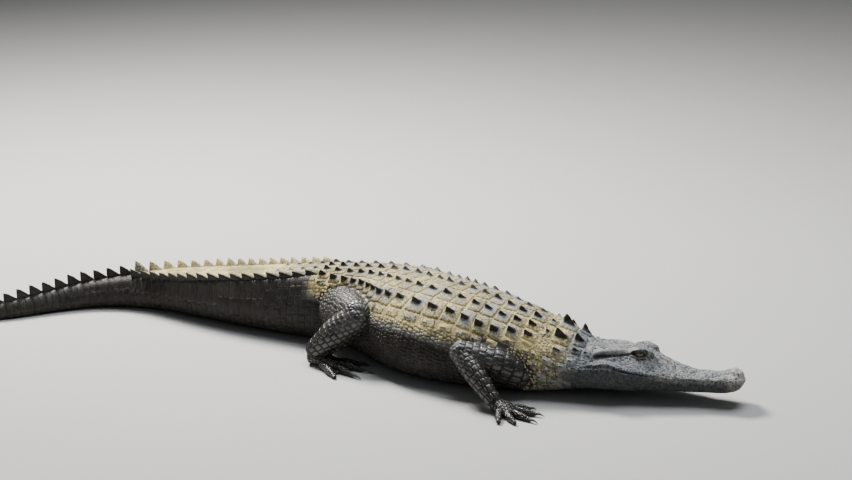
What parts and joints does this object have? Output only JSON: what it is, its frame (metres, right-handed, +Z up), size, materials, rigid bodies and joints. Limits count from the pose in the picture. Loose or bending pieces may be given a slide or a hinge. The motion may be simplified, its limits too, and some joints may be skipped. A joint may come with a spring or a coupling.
{
  "type": "american alligator",
  "caption": "Life-size alligator basking on its belly, head low and straight, keeled plates along the back, and a long crested tail curled round behind.",
  "frame": {"origin": "on the floor, under the middle of the whole animal's bounding box", "axes": "+X towards the head, +Y towards the animal's left side, +Z up"},
  "size_m": [2.85, 1.3106, 0.3064],
  "materials": {
    "head_hide": "damp blue-grey hide with fine pebbling",
    "back_hide": "dry keeled plates, grey with dusty yellow-olive skin between them",
    "limb_hide": "wet near-black scales",
    "eye": "clear wet eye, dark amber with an upright slit pupil"
  },
  "bodies": {
    "root": {"head": "head_hide", "lower_jaw": "head_hide", "eye_left": "eye", "eye_right": "eye", "ear_left": "head_hide", "ear_right": "head_hide", "neck": "back_hide", "torso": "back_hide", "tail_base": "back_hide", "tail_middle": "back_hide", "tail_rear": "back_hide", "tail_tip": "back_hide", "upper_arm_right": "limb_hide", "upper_arm_left": "limb_hide", "forearm_right": "limb_hide", "forearm_left": "limb_hide", "forefoot_right": "limb_hide", "forefoot_left": "limb_hide", "thigh_right": "limb_hide", "thigh_left": "limb_hide", "shank_right": "limb_hide", "shank_left": "limb_hide", "hindfoot_right": "limb_hide", "hindfoot_left": "limb_hide"}
  },
  "joints": []
}
